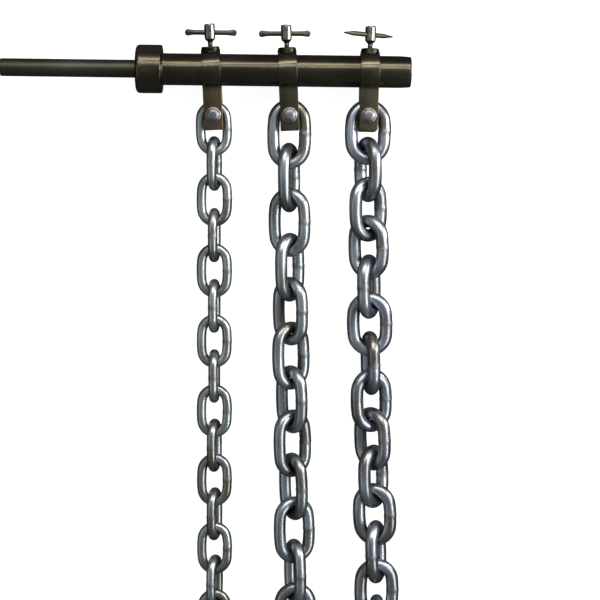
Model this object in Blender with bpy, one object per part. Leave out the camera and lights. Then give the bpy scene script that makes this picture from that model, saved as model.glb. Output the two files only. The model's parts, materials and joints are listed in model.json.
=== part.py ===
"""Three steel chains, each hung on a screw clamp round the end of a round bar.

The set lies flat on a level floor.  +X runs along the bar towards its capped
end, +Y from the chains' free ends towards the bar, +Z up.  Metres.
"""

import math

import bmesh
import bpy
from mathutils import Matrix, Vector

MM = 0.001

# ---------------------------------------------------------------- dimensions
# bar end, mm along the bar from the middle of the set
SHAFT_D = 28.0
SHAFT_START = -471.5
FLANGE_START = -258.4
FLANGE_END = -217.1
SLEEVE_END = 175.0
FLANGE_D = 76.0
SLEEVE_D = 50.0
SLEEVE_BORE_D = 29.0
CAP_D = 43.4
CAP_SEAT_D = 44.0
CAP_T = 5.0

# screw clamps
CLAMP_X = (-140.0, -19.6, 109.6)
CLAMP_SKEW = (2.9, 2.8, -0.9)  # degrees that each clamp sits out of square on the sleeve
STRAP_W = 30.0
STRAP_T = 5.0
STRAP_IN_R = 26.1
LUG_GAP = 24.0
LUG_END = 94.2
BOLT_DROP = 70.0
BOLT_D = 12.5
BOLT_HEAD_D = 26.0
NUT_AF = 19.0
NUT_H = 10.0
BOSS_D = 29.6
BOSS_TOP = 36.0
SCREW_D = 8.0
SCREW_HEAD_D = 17.0
SCREW_HEAD = (44.5, 71.5)
TOMMY_UP = 57.8
TOMMY_D = 7.6
TOMMY_L = 82.0
TOMMY_TURN = (0.0, 0.0, 16.0)  # degrees about the screw
TOMMY_ROLL = (0.0, 0.0, 90.0)  # degrees about the bar's own length
TOMMY_TILT = (-2.9, -2.0, -1.8)  # degrees out of square to the screw
TOMMY_SLIP = (1.9, -2.4, -3.3)  # mm that each one has slid through its screw

# chains: wire, outside length and width, number of links
CHAINS = {
    "small": {"d": 15.2, "length": 87.4, "width": 57.0, "links": 27, "aside": 1.6, "drift": 4.3, "slack": 0.0},
    "medium": {"d": 19.5, "length": 111.0, "width": 70.0, "links": 21, "aside": 0.0, "drift": 18.0, "slack": 0.9},
    "large": {"d": 20.5, "length": 104.1, "width": 73.0, "links": 25, "aside": 0.0, "drift": 26.2, "slack": 1.0},
}
# turn of each link about the chain's length, degrees from lying flat
TWISTS = {
    "small": (0, 80, 0, 85.5, 0, 86, 0, 87.5, 0, 80, 0, 78.5, 0, 76),
    "medium": (0, 72, -20, 57, -42, 36, -51, 35, -57, 20, -70, 0, 84),
    "large": (0, -66, 38, -34, 68, -3, -80, 27, -45, 54, -17, 72, 0, 84),
}
FOLDS = {"small": (1, 13), "medium": (1, 12), "large": (1, 13)}  # links whose lower crown is a hinge
FOLD_PLAY = 1.0  # free play at those crowns
SEAT = 5.0  # side of the small seat where two links bear on each other
GAP = 0.3

WIRE_RESOLUTION = 1
ARC_STEPS = 6
ROUND = 28

# ------------------------------------------------------------ scene and tools
for old in list(bpy.data.objects):
    bpy.data.objects.remove(old, do_unlink=True)

scene = bpy.context.scene
scene.unit_settings.system = "METRIC"
scene.unit_settings.scale_length = 1.0

parts = bpy.data.collections.new("chain_set")
scene.collection.children.link(parts)
cutters = bpy.data.collections.new("chain_set_cutters")
scene.collection.children.link(cutters)


def material(name, colour, roughness, metallic):
    made = bpy.data.materials.new(name)
    made.use_nodes = True
    shader = made.node_tree.nodes["Principled BSDF"]
    shader.inputs["Base Color"].default_value = (*colour, 1.0)
    shader.inputs["Roughness"].default_value = roughness
    shader.inputs["Metallic"].default_value = metallic
    made.diffuse_color = (*colour, 1.0)
    return made


def smooth(mesh, angle=40.0):
    mesh.shade_smooth()
    mesh.set_sharp_from_angle(angle=math.radians(angle))


def add(name, mesh, place, parent, look, collection=parts):
    obj = bpy.data.objects.new(name, mesh)
    collection.objects.link(obj)
    obj.parent = parent
    obj.matrix_basis = place
    if look:
        mesh.materials.clear()
        mesh.materials.append(look)
    if collection is cutters:
        obj.hide_render = True
        obj.display_type = "WIRE"
    return obj


def boolean(obj, other, operation):
    modifier = obj.modifiers.new(operation.lower(), "BOOLEAN")
    modifier.operation = operation
    modifier.solver = "EXACT"
    modifier.object = other
    return modifier


def empty(name, place, parent):
    made = bpy.data.objects.new(name, None)
    made.empty_display_size = 0.02
    parts.objects.link(made)
    made.parent = parent
    made.matrix_basis = place
    return made


def turned(name, profile, steps=ROUND):
    """A mesh turned round the X axis from (x, radius) pairs, closed at the axis or back on itself."""
    mesh = bpy.data.meshes.new(name)
    edit = bmesh.new()
    points = [edit.verts.new((x * MM, 0.0, r * MM)) for x, r in profile]
    closed_ring = min(r for _, r in profile) > 0.0
    edges = [edit.edges.new(pair) for pair in zip(points, points[1:])]
    if closed_ring:
        edges.append(edit.edges.new((points[-1], points[0])))
    bmesh.ops.spin(
        edit,
        geom=points + edges,
        cent=(0, 0, 0),
        axis=(1, 0, 0),
        angle=2 * math.pi,
        steps=steps,
        use_merge=True,
        use_duplicate=False,
    )
    bmesh.ops.remove_doubles(edit, verts=edit.verts, dist=1e-6)
    bmesh.ops.recalc_face_normals(edit, faces=edit.faces)
    edit.to_mesh(mesh)
    edit.free()
    smooth(mesh)
    return mesh


def prism(name, sides, radius, low, high):
    """A cylinder or a hexagon along Z between two heights."""
    mesh = bpy.data.meshes.new(name)
    edit = bmesh.new()
    bmesh.ops.create_cone(
        edit,
        cap_ends=True,
        segments=sides,
        radius1=radius * MM,
        radius2=radius * MM,
        depth=(high - low) * MM,
        matrix=Matrix.Translation((0, 0, (low + high) / 2 * MM)),
    )
    edit.to_mesh(mesh)
    edit.free()
    smooth(mesh)
    return mesh


def arc(centre, radius, first, last, steps):
    """Points on an arc in the plane, angles in degrees."""
    return [
        (
            centre[0] + radius * math.cos(math.radians(first + (last - first) * i / steps)),
            centre[1] + radius * math.sin(math.radians(first + (last - first) * i / steps)),
        )
        for i in range(steps + 1)
    ]


def plate(name, outlines, thickness):
    """A flat outline with its holes, extruded evenly about its plane."""
    curve = bpy.data.curves.new(name, "CURVE")
    curve.dimensions = "2D"
    curve.fill_mode = "BOTH"
    curve.extrude = thickness / 2 * MM
    for outline in outlines:
        spline = curve.splines.new("POLY")
        spline.points.add(len(outline) - 1)
        for point, (u, v) in zip(spline.points, outline):
            point.co = (u * MM, v * MM, 0.0, 1.0)
        spline.use_cyclic_u = True
    return meshed(name, curve)


def meshed(name, curve):
    """The mesh of a curve object, with its loose caps welded on."""
    obj = bpy.data.objects.new(name + "_curve", curve)
    scene.collection.objects.link(obj)
    bpy.context.view_layer.update()
    graph = bpy.context.evaluated_depsgraph_get()
    mesh = bpy.data.meshes.new_from_object(obj.evaluated_get(graph))
    mesh.name = name
    bpy.data.objects.remove(obj, do_unlink=True)
    edit = bmesh.new()
    edit.from_mesh(mesh)
    bmesh.ops.remove_doubles(edit, verts=edit.verts, dist=1e-6)
    bmesh.ops.recalc_face_normals(edit, faces=edit.faces)
    edit.to_mesh(mesh)
    edit.free()
    smooth(mesh, 50.0)
    return mesh


# ----------------------------------------------------------------- materials
BAR_COLOUR = (0.075, 0.065, 0.050)
CLAMP_COLOUR = (0.115, 0.100, 0.078)
ZINC_COLOUR = (0.34, 0.36, 0.39)
CHAIN_COLOURS = {
    "small": (0.27, 0.28, 0.32),
    "medium": (0.25, 0.26, 0.30),
    "large": (0.24, 0.25, 0.28),
}

# ------------------------------------------------------- how the bar end lies
# The bar rests on the right rim of its flange and on the third clamp's strap.
FLANGE_EDGE = 3.0
STRAP_OUT_R = STRAP_IN_R + STRAP_T
reach = (CLAMP_X[2] + STRAP_W / 2) - (FLANGE_END - FLANGE_EDGE)
fall = FLANGE_D / 2 - FLANGE_EDGE - STRAP_OUT_R
TILT = math.asin(FLANGE_EDGE / math.hypot(reach, fall)) + math.atan2(fall, reach)
BAR_Z = (
    (CLAMP_X[2] + STRAP_W / 2) * math.sin(TILT) + STRAP_OUT_R * math.cos(TILT)
)

root = empty("chain_set_origin", Matrix.Identity(4), None)
bar = empty(
    "bar_axis",
    Matrix.Translation((0, 0, BAR_Z * MM)) @ Matrix.Rotation(TILT, 4, "Y"),
    root,
)

# -------------------------------------------------------------------- bar end
add(
    "bar_shaft",
    turned(
        "bar_shaft",
        [
            (SHAFT_START, 0.0),
            (SHAFT_START, SHAFT_D / 2 - 1.0),
            (SHAFT_START + 1.0, SHAFT_D / 2),
            (SLEEVE_END - CAP_T - 4.0, SHAFT_D / 2),
            (SLEEVE_END - CAP_T - 4.0, 0.0),
        ],
    ),
    Matrix.Identity(4),
    bar,
    material("bar_shaft", BAR_COLOUR, 0.32, 1.0),
)

fr, sr = FLANGE_D / 2, SLEEVE_D / 2
add(
    "bar_sleeve",
    turned(
        "bar_sleeve",
        [(FLANGE_START, SLEEVE_BORE_D / 2)]
        + [
            (FLANGE_START + 6.5 + u, fr - 6.5 + v)
            for u, v in arc((0, 0), 6.5, 180, 90, 4)
        ]
        + [
            (FLANGE_END - FLANGE_EDGE + u, fr - FLANGE_EDGE + v)
            for u, v in arc((0, 0), FLANGE_EDGE, 90, 0, 3)
        ]
        + [
            (FLANGE_END, sr),
            (SLEEVE_END - 16.0, sr),
            (SLEEVE_END - 4.0, sr - 0.8),
            (SLEEVE_END - 1.4, sr - 1.3),
            (SLEEVE_END, sr - 2.4),
            (SLEEVE_END, CAP_SEAT_D / 2),
            (SLEEVE_END - CAP_T, CAP_SEAT_D / 2),
            (SLEEVE_END - CAP_T, SLEEVE_BORE_D / 2),
        ],
    ),
    Matrix.Identity(4),
    bar,
    material("bar_sleeve", BAR_COLOUR, 0.28, 1.0),
)

add(
    "sleeve_end_cap",
    turned(
        "sleeve_end_cap",
        [
            (SLEEVE_END - CAP_T + GAP, 0.0),
            (SLEEVE_END - CAP_T + GAP, CAP_D / 2),
            (SLEEVE_END - 1.0, CAP_D / 2),
            (SLEEVE_END - 0.3, CAP_D / 2 - 0.7),
            (SLEEVE_END - 0.3, 0.0),
        ],
    ),
    Matrix.Identity(4),
    bar,
    material("sleeve_end_cap", (0.05, 0.045, 0.04), 0.45, 0.6),
)

# --------------------------------------------------------------------- clamps


def strap_outline():
    """The strap's side view: a ring that opens at the bottom into two straight lugs."""
    half = LUG_GAP / 2
    out = half + STRAP_T
    bend = 6.0
    # outer bend: a fillet that touches the ring from outside and the lug's face
    cz = out + bend
    cy = -math.sqrt((STRAP_OUT_R + bend) ** 2 - cz**2)
    touch = math.degrees(math.atan2(cy, cz))  # about -51 degrees, on the ring
    inner = math.degrees(math.atan2(-math.sqrt(STRAP_IN_R**2 - half**2), half))
    outline = arc((0, 0), STRAP_OUT_R, touch, 180 - touch, 22)
    outline += arc((-cz, cy), bend, -touch, 0, 3)[1:]
    outline += [(-out, -LUG_END), (-half, -LUG_END)]
    outline += arc((0, 0), STRAP_IN_R, 180 - inner, inner, 22)
    outline += [(half, -LUG_END), (out, -LUG_END)]
    outline += arc((cz, cy), bend, 180, 180 + touch, 3)[:-1]
    return outline


# The side view is drawn in (Z, Y) and turned so that its thickness runs along X.
SIDE_VIEW = Matrix(((0, 0, 1, 0), (0, 1, 0, 0), (-1, 0, 0, 0), (0, 0, 0, 1)))
ALONG_Y = Matrix.Rotation(math.radians(-90), 4, "X")  # +Z becomes +Y


def tommy_mesh(name):
    """A round rod along X, hammered flat into a paddle at each end."""
    half, r = TOMMY_L / 2, TOMMY_D / 2
    side = [  # distance from the middle, scale across the paddle, scale through it
        (half - 15.0, 1.0, 1.0),
        (half - 10.0, 1.22, 0.66),
        (half - 4.0, 1.45, 0.42),
        (half - 1.0, 1.18, 0.34),
        (half, 0.66, 0.24),
    ]
    stations = [(-x, a, b) for x, a, b in reversed(side)] + side
    edit = bmesh.new()
    made = bmesh.ops.create_circle(
        edit,
        cap_ends=True,
        segments=12,
        radius=r * MM,
        matrix=Matrix.Rotation(math.radians(90), 4, "Y"),
    )
    ring = list(made["verts"])
    face = edit.faces[:][0]

    def shape(verts, old, new):
        for v in verts:
            v.co.x = new[0] * MM
            v.co.y *= new[1] / old[1]
            v.co.z *= new[2] / old[2]

    shape(ring, (0, 1, 1), stations[0])
    for old, new in zip(stations, stations[1:]):
        out = bmesh.ops.extrude_face_region(edit, geom=[face])
        if old is not stations[0] and face.is_valid:
            bmesh.ops.delete(edit, geom=[face], context="FACES_ONLY")
        grown = [g for g in out["geom"] if isinstance(g, bmesh.types.BMVert)]
        face = [g for g in out["geom"] if isinstance(g, bmesh.types.BMFace)][0]
        shape(grown, old, new)
    bmesh.ops.recalc_face_normals(edit, faces=edit.faces)
    mesh = bpy.data.meshes.new(name)
    edit.to_mesh(mesh)
    edit.free()
    smooth(mesh)
    return mesh


def hub_place(number, x):
    """Each clamp sits a little askew, and turned round the bar so that its first link points at the height its chain lies at."""
    size = CHAINS[("small", "medium", "large")[number - 1]]
    axis_z = BAR_Z - x * math.sin(TILT)
    reach_y = BOLT_DROP - BOLT_D / 2 + size["length"] - 1.5 * size["d"]
    turn = math.asin((size["width"] / 2 + 0.8 - axis_z) / reach_y)
    skew = Matrix.Rotation(math.radians(CLAMP_SKEW[number - 1]), 4, "Z")
    return Matrix.Translation((x * MM, 0, 0)) @ skew @ Matrix.Rotation(-turn, 4, "X")


def tommy_axis(number):
    """The cross hole's own frame in a clamp: its length along X."""
    return (
        Matrix.Translation((0, TOMMY_UP * MM, 0))
        @ Matrix.Rotation(math.radians(TOMMY_TILT[number - 1]), 4, "Z")
        @ Matrix.Rotation(math.radians(TOMMY_TURN[number - 1]), 4, "Y")
    )


def clamp(number, x):
    name = f"clamp_{number}"
    hub = empty(name + "_hub", hub_place(number, x), bar)

    # strap: ring and lugs in one bent strip, with the threaded boss welded on top
    strap = add(
        name + "_strap",
        plate(name + "_strap", [strap_outline()], STRAP_W),
        SIDE_VIEW,
        hub,
        material(name + "_strap", CLAMP_COLOUR, 0.42, 1.0),
    )
    boss = add(
        name + "_boss",
        prism(name + "_boss", 20, BOSS_D / 2, STRAP_IN_R + 0.8, BOSS_TOP),
        ALONG_Y,
        hub,
        None,
        cutters,
    )
    boolean(strap, boss, "UNION")
    screw_hole = add(
        name + "_screw_hole",
        prism(name + "_screw_hole", 16, SCREW_D / 2 + 0.4, 10.0, BOSS_TOP + 10.0),
        ALONG_Y,
        hub,
        None,
        cutters,
    )
    boolean(strap, screw_hole, "DIFFERENCE")
    bolt_hole = add(
        name + "_bolt_hole",
        prism(name + "_bolt_hole", 16, BOLT_D / 2 + 0.5, -40.0, 40.0),
        Matrix.Translation((0, -BOLT_DROP * MM, 0)),
        hub,
        None,
        cutters,
    )
    boolean(strap, bolt_hole, "DIFFERENCE")

    # bolt and nut through both lugs, the head on top as it lies
    axis = Matrix.Translation((0, -BOLT_DROP * MM, 0))
    face = LUG_GAP / 2 + STRAP_T + GAP
    shank_end = face + NUT_H + 1.0
    dome = [(face, 0.0), (face, BOLT_HEAD_D / 2), (face + 2.4, BOLT_HEAD_D / 2)]
    dome += [(face + 2.4, 9.6), (face + 6.5, 9.2), (face + 8.6, 7.0), (face + 9.4, 0.0)]
    bolt = add(
        name + "_bolt",
        turned(
            name + "_bolt",
            [(-shank_end, 0.0), (-shank_end, BOLT_D / 2 - 0.8), (-shank_end + 0.8, BOLT_D / 2)]
            + [(face, BOLT_D / 2)]
            + dome[1:],
            18,
        ),
        axis @ Matrix.Rotation(math.radians(-90), 4, "Y"),
        hub,
        material(name + "_bolt", ZINC_COLOUR, 0.36, 1.0),
    )
    nut = add(
        name + "_nut",
        prism(name + "_nut", 6, NUT_AF / 2 / math.cos(math.pi / 6), -face - NUT_H, -face),
        axis,
        hub,
        material(name + "_nut", ZINC_COLOUR, 0.38, 1.0),
    )
    nut_hole = add(
        name + "_nut_hole",
        prism(name + "_nut_hole", 18, BOLT_D / 2 + 0.35, -60.0, 0.0),
        axis,
        hub,
        None,
        cutters,
    )
    boolean(nut, nut_hole, "DIFFERENCE")

    # pinch screw: shank, barrel head with a cross hole
    low, high = SCREW_HEAD
    sh, hh = SCREW_D / 2, SCREW_HEAD_D / 2
    screw = add(
        name + "_screw",
        turned(
            name + "_screw",
            [
                (sr + GAP, 0.0),
                (sr + GAP, sh - 1.0),
                (sr + GAP + 1.0, sh),
                (low, sh),
                (low + 0.6, hh - 3.5),
                (low + 4.0, hh - 0.4),
                (low + 7.0, hh),
                (high - 3.0, hh),
                (high - 0.8, hh - 1.2),
                (high, hh - 4.0),
                (high, 0.0),
            ],
            16,
        ),
        Matrix.Rotation(math.radians(90), 4, "Z"),
        hub,
        material(name + "_screw", ZINC_COLOUR, 0.30, 1.0),
    )
    cross = add(
        name + "_cross_hole",
        prism(name + "_cross_hole", 12, TOMMY_D / 2 + 0.45, -30.0, 30.0),
        tommy_axis(number) @ Matrix.Rotation(math.radians(90), 4, "Y"),
        hub,
        None,
        cutters,
    )
    boolean(screw, cross, "DIFFERENCE")
    add(
        name + "_tommy_bar",
        tommy_mesh(name + "_tommy_bar"),
        tommy_axis(number)
        @ Matrix.Translation((TOMMY_SLIP[number - 1] * MM, 0, 0))
        @ Matrix.Rotation(math.radians(TOMMY_ROLL[number - 1]), 4, "X"),
        hub,
        material(name + "_tommy_bar", ZINC_COLOUR, 0.34, 1.0),
    )
    return hub


# --------------------------------------------------------------------- chains


def link_mesh(name, size):
    """One welded link: a wire bent to a long ring in the XY plane, its length along Y."""
    r = size["d"] / 2
    bend = (size["width"] - size["d"]) / 2
    straight = (size["length"] - size["width"]) / 2
    # the path's sides touch the wire's bends, so legs and crowns keep their distances
    half = 90 / ARC_STEPS
    corner = bend / math.cos(math.radians(half))
    ends = arc((0, straight), corner, half, 180 - half, ARC_STEPS - 1)
    path = ends + [(-x, -y) for x, y in ends]
    curve = bpy.data.curves.new(name, "CURVE")
    curve.dimensions = "3D"
    curve.bevel_resolution = WIRE_RESOLUTION
    sides = 4 + 2 * WIRE_RESOLUTION
    # the many-sided wire keeps the round wire's section, with a flat on its inner side
    area = sides / 2 * math.sin(2 * math.pi / sides)
    curve.bevel_depth = r * math.sqrt(math.pi / area) * MM
    spline = curve.splines.new("POLY")
    spline.points.add(len(path) - 1)
    for point, (x, y) in zip(spline.points, path):
        point.co = (x * MM, y * MM, 0.0, 1.0)
        point.tilt = math.pi / sides
    spline.use_cyclic_u = True
    return meshed(name, curve)


def twist_of(name, i):
    """Turn of link i, degrees; past the listed ones the links alternate with a slow wander."""
    listed = TWISTS[name]
    if i < len(listed):
        return listed[i]
    phase = {"small": 0.4, "medium": 1.7, "large": 2.9}[name]
    wander = 9.0 * math.sin(1.9 * i + phase) + 6.0 * math.sin(0.7 * i + 2 * phase)
    upright = (i - len(listed)) % 2 == (0 if abs(listed[-1]) < 45 else 1)
    return (90.0 if upright else 0.0) + (wander if i < CHAINS[name]["links"] - 1 else 0.0)


def chain(name, number, clamp_x, pairs_from, looks):
    """Links laid along -Y from the clamp's bolt, single ones and pairs seated on each other."""
    size = CHAINS[name]
    count, d = size["links"], size["d"]
    base = link_mesh(name + "_link", size)
    tilt = Matrix.Rotation(TILT, 4, "Y")
    hub = Matrix.Translation((0, 0, BAR_Z * MM)) @ tilt @ hub_place(number, clamp_x)
    start = hub @ Vector((0, -BOLT_DROP * MM, 0))
    floor_z = size["width"] / 2 - 0.25
    solo = [i for i in range(count) if i < pairs_from or (count - pairs_from) % 2 and i == count - 1]

    def fused(i):
        """Whether link i and link i + 1 share a piece."""
        return i >= pairs_from and (i - pairs_from) % 2 == 0 and i + 1 < count and i not in solo

    def play(i):
        """Slack at link i's lower crown: links far from square to each other seat less deeply."""
        if i + 1 == count:
            return 0.0
        apart = abs(twist_of(name, i + 1) - twist_of(name, i)) % 180
        square = min(apart, 180 - apart)
        slack = size["slack"] + 0.006 * size["d"] * max(0.0, 84.0 - square) if not fused(i) else 0.0
        return slack + (FOLD_PLAY if i + 1 in FOLDS[name] else 0.0)

    # link 1 hangs on the bolt, in the clamp's own plane but nearly square to the bar
    links = []
    top = -BOLT_DROP + BOLT_D / 2 + d / 2 + 0.1
    centre = top - (size["length"] - d) / 2
    reach_down = -BOLT_DROP - centre + (size["length"] - d) / 2
    lean = math.asin(size["aside"] / reach_down)
    hung = Matrix.Rotation(lean - math.radians(CLAMP_SKEW[number - 1]), 4, "Z")
    first = (
        hub
        @ Matrix.Translation((0, -BOLT_DROP * MM, 0))
        @ hung
        @ Matrix.Translation((0, (centre + BOLT_DROP) * MM, 0))
    )
    links.append(first)
    seat = first @ Vector((0, (-(size["length"] - d) / 2 + (d + play(0)) / 2) * MM, 0))
    seats = [seat]
    s = (start.y - seat.y) / MM
    first_z = seat.z / MM

    def spine(s):
        """Sideways drift and height of the chain's line at s mm from the bolt."""
        side = size["drift"] * min(s / 750.0, 1.0) ** 1.5
        way = min(max((s - 60.0) / 200.0, 0.0), 1.0)
        return side, first_z + (floor_z - first_z) * way * way * (3 - 2 * way)

    for i in range(1, count):
        step = size["length"] - 2 * d - (play(i - 1) + play(i)) / 2
        side, height = spine(s + step)
        goal = Vector((start.x + (size["aside"] + side) * MM, start.y - (s + step) * MM, height * MM))
        way = (seat - goal).normalized()  # the link's +Y
        level = Vector((0, 0, 1)) - way * way.z
        level.normalize()
        across = way.cross(level)
        turn = Matrix((across, way, level)).transposed().to_4x4()
        middle = seat - way * ((d + play(i - 1)) / -2 + (size["length"] - d) / 2) * MM
        place = (
            Matrix.Translation(middle)
            @ turn
            @ Matrix.Rotation(math.radians(twist_of(name, i)), 4, "Y")
        )
        links.append(place)
        seat = seat - way * step * MM
        seats.append(seat)
        s += step

    look_of = lambda label: material(label, *looks)
    for i in range(count):
        if fused(i):
            label = f"{name}_links_{i + 1}_{i + 2}"
            obj = add(label, base.copy(), links[i], root, look_of(label))
            other = add(f"{label}_second", base.copy(), links[i + 1], root, None, cutters)
            pad = bpy.data.meshes.new(f"{label}_seat")
            edit = bmesh.new()
            bmesh.ops.create_cube(edit, size=SEAT * MM)
            edit.to_mesh(pad)
            edit.free()
            bearing = add(
                f"{label}_seat", pad, Matrix.Translation(seats[i]), root, None, cutters
            )
            boolean(obj, bearing, "UNION")
            boolean(obj, other, "UNION")
        elif i == 0 or not fused(i - 1):
            label = f"{name}_link_{i + 1}"
            add(label, base.copy(), links[i], root, look_of(label))
    return links


for number, x in enumerate(CLAMP_X, 1):
    clamp(number, x)

places = {}
for number, (name, x, pairs_from) in enumerate(
    zip(("small", "medium", "large"), CLAMP_X, (1, 2, 1)), 1
):
    places[name] = chain(name, number, x, pairs_from, (CHAIN_COLOURS[name], 0.36, 1.0))

# ------------------------------------------- origin at the bottom of the middle
bpy.context.view_layer.update()
graph = bpy.context.evaluated_depsgraph_get()
low = Vector((1e9, 1e9, 1e9))
high = -low
for obj in parts.objects:
    if obj.type != "MESH":
        continue
    seen = obj.evaluated_get(graph)
    mesh = seen.to_mesh()
    for v in mesh.vertices:
        point = seen.matrix_world @ v.co
        low = Vector(map(min, low, point))
        high = Vector(map(max, high, point))
    seen.to_mesh_clear()
root.location = (-(low.x + high.x) / 2, -(low.y + high.y) / 2, -low.z)
bpy.context.view_layer.update()
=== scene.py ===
"""The finished look of three steel chains, each hung on a screw clamp round the end of a round bar.

Every piece stands where its solid stands: the numbers below are the set's own
dimensions in millimetres, and the places are worked out from them.
"""

import json
import math
import random

import bmesh
import bpy
import numpy as np
from mathutils import Matrix, Vector

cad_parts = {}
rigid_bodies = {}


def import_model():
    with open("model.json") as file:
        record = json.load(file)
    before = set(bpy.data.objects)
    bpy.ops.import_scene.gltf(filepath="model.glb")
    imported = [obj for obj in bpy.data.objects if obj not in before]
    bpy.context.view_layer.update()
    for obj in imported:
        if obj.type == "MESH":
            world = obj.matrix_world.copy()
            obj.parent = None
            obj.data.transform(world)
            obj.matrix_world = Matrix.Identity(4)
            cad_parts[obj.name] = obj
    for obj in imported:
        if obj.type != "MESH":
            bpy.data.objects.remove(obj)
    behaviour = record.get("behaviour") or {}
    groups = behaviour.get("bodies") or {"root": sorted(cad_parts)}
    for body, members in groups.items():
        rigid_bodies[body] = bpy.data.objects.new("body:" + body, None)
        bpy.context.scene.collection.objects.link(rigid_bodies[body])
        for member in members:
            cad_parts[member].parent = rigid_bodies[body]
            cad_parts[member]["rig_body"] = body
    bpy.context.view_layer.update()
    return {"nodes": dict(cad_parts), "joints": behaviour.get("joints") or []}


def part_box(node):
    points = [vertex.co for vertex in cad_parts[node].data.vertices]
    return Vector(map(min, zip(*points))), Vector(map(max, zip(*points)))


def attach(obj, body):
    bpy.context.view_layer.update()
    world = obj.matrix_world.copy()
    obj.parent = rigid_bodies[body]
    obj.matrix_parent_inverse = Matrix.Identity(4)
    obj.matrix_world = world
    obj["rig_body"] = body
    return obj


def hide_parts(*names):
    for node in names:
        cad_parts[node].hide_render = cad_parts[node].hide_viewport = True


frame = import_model()

MM = 0.001

# ---------------------------------------------------------------- dimensions
SHAFT_D, SHAFT_START = 28.0, -471.5
FLANGE_START, FLANGE_END, FLANGE_D = -258.4, -217.1, 76.0
SLEEVE_END, SLEEVE_D, SLEEVE_BORE_D = 175.0, 50.0, 29.0
CAP_D, CAP_SEAT_D, CAP_T = 43.4, 44.0, 5.0

CLAMP_X = (-140.0, -19.6, 109.6)
CLAMP_SKEW = (2.9, 2.8, -0.9)
STRAP_W, STRAP_T, STRAP_IN_R = 30.0, 5.0, 26.1
LUG_GAP, LUG_END = 24.0, 94.2
BOLT_DROP, BOLT_D, BOLT_HEAD_D, NUT_AF, NUT_H = 70.0, 12.5, 26.0, 19.0, 10.0
BOSS_D, BOSS_TOP = 29.6, 36.0
SCREW_D, SCREW_HEAD_D = 8.0, 17.0
SCREW_HEAD = (44.5, 71.5)
TOMMY_UP, TOMMY_D, TOMMY_L = 57.8, 7.6, 82.0
TOMMY_TURN = (0.0, 0.0, 16.0)
TOMMY_ROLL = (0.0, 0.0, 90.0)
TOMMY_TILT = (-2.9, -2.0, -1.8)
TOMMY_SLIP = (1.9, -2.4, -3.3)

CHAINS = {
    "small": {"d": 15.2, "length": 87.4, "width": 57.0, "links": 27, "aside": 1.6, "drift": 4.3, "slack": 0.0},
    "medium": {"d": 19.5, "length": 111.0, "width": 70.0, "links": 21, "aside": 0.0, "drift": 18.0, "slack": 0.9},
    "large": {"d": 20.5, "length": 104.1, "width": 73.0, "links": 25, "aside": 0.0, "drift": 26.2, "slack": 1.0},
}
PAIRS_FROM = {"small": 1, "medium": 2, "large": 1}
TWISTS = {
    "small": (0, 80, 0, 85.5, 0, 86, 0, 87.5, 0, 80, 0, 78.5, 0, 76),
    "medium": (0, 72, -20, 57, -42, 36, -51, 35, -57, 20, -70, 0, 84),
    "large": (0, -66, 38, -34, 68, -3, -80, 27, -45, 54, -17, 72, 0, 84),
}
FOLDS = {"small": (1, 13), "medium": (1, 12), "large": (1, 13)}
FOLD_PLAY = 1.0
GAP = 0.3

FLANGE_EDGE = 3.0
STRAP_OUT_R = STRAP_IN_R + STRAP_T
reach = (CLAMP_X[2] + STRAP_W / 2) - (FLANGE_END - FLANGE_EDGE)
fall = FLANGE_D / 2 - FLANGE_EDGE - STRAP_OUT_R
TILT = math.asin(FLANGE_EDGE / math.hypot(reach, fall)) + math.atan2(fall, reach)
BAR_Z = (CLAMP_X[2] + STRAP_W / 2) * math.sin(TILT) + STRAP_OUT_R * math.cos(TILT)

spin = next(j for j in frame["joints"] if j["name"] == "shaft_spin")
ORIGIN = Matrix.Translation((spin["pos_m"][0], spin["pos_m"][1], 0.0))
BAR = ORIGIN @ Matrix.Translation((0, 0, BAR_Z * MM)) @ Matrix.Rotation(TILT, 4, "Y")


# ------------------------------------------------------------- mesh building
def skin(name, rings, closed=False, along=None):
    """A mesh over rings of points in millimetres; a ring of one point closes an end.

    along gives each ring's distance on a wire, and stores at every corner the
    place it would have if the wire were straight.
    """
    rings = [np.asarray(r, float).reshape(-1, 3) for r in rings]
    points = np.concatenate(rings) * MM
    starts = np.cumsum([0] + [len(r) for r in rings])
    count = len(rings)
    faces, corners = [], []
    for a in range(count if closed else count - 1):
        b = (a + 1) % count
        na, nb = len(rings[a]), len(rings[b])
        n = max(na, nb)
        for j in range(n):
            k = (j + 1) % n
            face, corner = [], []
            for ring, at, size, step in ((a, a, na, j), (a, a, na, k), (b, a + 1, nb, k), (b, a + 1, nb, j)):
                if size == 1 and face and face[-1] == starts[ring]:
                    continue
                face.append(int(starts[ring] + (step if size > 1 else 0)))
                corner.append((at, step, n))
            if face[0] == face[-1]:
                face.pop()
                corner.pop()
            faces.append(face)
            corners.append(corner)
    volume = 0.0
    for face in faces:
        for i in range(1, len(face) - 1):
            u, v, w = points[face[0]], points[face[i]], points[face[i + 1]]
            volume += u[0] * (v[1] * w[2] - v[2] * w[1]) - u[1] * (v[0] * w[2] - v[2] * w[0]) + u[2] * (v[0] * w[1] - v[1] * w[0])
    if volume < 0:
        faces = [f[::-1] for f in faces]
        corners = [c[::-1] for c in corners]
    mesh = bpy.data.meshes.new(name)
    mesh.from_pydata([tuple(p) for p in points], [], faces)
    mesh.update()
    if along is not None:
        distance, radius = along
        turn = 2 * math.pi
        flat = [
            (distance[at] * MM, radius * MM * math.cos(turn * step / n), radius * MM * math.sin(turn * step / n))
            for corner in corners
            for at, step, n in corner
        ]
        layer = mesh.attributes.new("wire", "FLOAT_VECTOR", "CORNER")
        layer.data.foreach_set("vector", np.asarray(flat, np.float32).ravel())
    return mesh


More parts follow.
